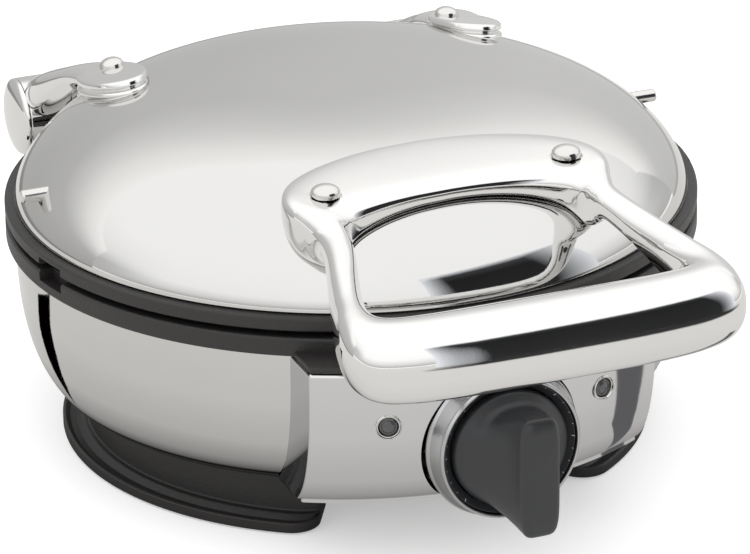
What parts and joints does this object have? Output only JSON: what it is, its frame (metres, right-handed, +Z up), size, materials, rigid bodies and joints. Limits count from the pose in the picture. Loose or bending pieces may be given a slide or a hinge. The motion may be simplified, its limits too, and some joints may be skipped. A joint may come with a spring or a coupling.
{
  "type": "waffle maker",
  "caption": "Round countertop waffle maker with a domed steel lid, thick looped front handle, rear hinge arms, thermostat knob, indicator lamps and black base feet.",
  "frame": {"origin": "middle of the footprint, on the surface the feet stand on", "axes": "+Z up, the user and the handle are on the -Y side, the hinge on the +Y side, +X to the user's right"},
  "size_m": [0.28, 0.383, 0.1449],
  "materials": {
    "polished_steel": "mirror polished stainless steel",
    "black_plastic": "fine grained",
    "satin_silver": "satin silver",
    "polished_cast": "polished casting",
    "lamp_lens": "smoked, unlit",
    "moulded_resin": "moulded resin",
    "knob_plastic": "satin",
    "knob_mark": "pad printed dot",
    "plated_steel": "zinc plated",
    "rubber_pad": "matte",
    "nonstick_plate": "black nonstick coating on the casting",
    "element_sheath": "heat darkened sheath",
    "reflector_sheet": "bright sheet"
  },
  "bodies": {
    "base": {"base_bowl": "polished_steel", "lower_rim": "black_plastic", "control_panel": "satin_silver", "power_lamp_bezel": "polished_cast", "power_lamp_lens": "lamp_lens", "power_neon_lamp": "moulded_resin", "ready_lamp_bezel": "polished_cast", "ready_lamp_lens": "lamp_lens", "ready_neon_lamp": "moulded_resin", "knob_collar": "satin_silver", "dial_ring": "knob_plastic", "thermostat": "moulded_resin", "thermostat_bracket": "plated_steel", "base_tray": "black_plastic", "left_foot": "black_plastic", "front_left_pad": "rubber_pad", "rear_left_pad": "rubber_pad", "right_foot": "black_plastic", "front_right_pad": "rubber_pad", "rear_right_pad": "rubber_pad", "bottom_cover": "plated_steel", "cover_screw_1": "plated_steel", "cover_screw_2": "plated_steel", "cover_screw_3": "plated_steel", "cover_screw_4": "plated_steel", "cord_gland": "black_plastic", "lower_waffle_plate": "nonstick_plate", "lower_heating_element": "element_sheath", "lower_heat_reflector": "reflector_sheet", "thermal_fuse": "moulded_resin", "terminal_block": "moulded_resin", "hinge_mount": "polished_cast", "hinge_rod": "plated_steel"},
    "lid": {"upper_rim": "black_plastic", "dome_lid": "polished_steel", "upper_waffle_plate": "nonstick_plate", "upper_heating_element": "element_sheath", "upper_heat_reflector": "reflector_sheet", "handle": "polished_cast", "handle_left_screw": "plated_steel", "handle_right_screw": "plated_steel", "left_hinge_arm": "polished_cast", "left_hinge_screw": "plated_steel", "left_hinge_cap": "polished_cast", "left_side_stud": "polished_cast", "right_hinge_arm": "polished_cast", "right_hinge_screw": "plated_steel", "right_hinge_cap": "polished_cast", "right_side_stud": "polished_cast"},
    "knob": {"knob": "knob_plastic", "knob_marker": "knob_mark", "thermostat_shaft": "plated_steel"}
  },
  "joints": [
    {"name": "lid_hinge", "type": "hinge", "parent": "base", "child": "lid", "pos_m": [0, 0.175, 0.0919], "axis": [-1, 0, 0], "range_deg": [0, 100]},
    {"name": "thermostat_turn", "type": "hinge", "parent": "base", "child": "knob", "pos_m": [0, -0.1275, 0.051], "axis": [0, 1, 0], "range_deg": [0, 270]}
  ]
}
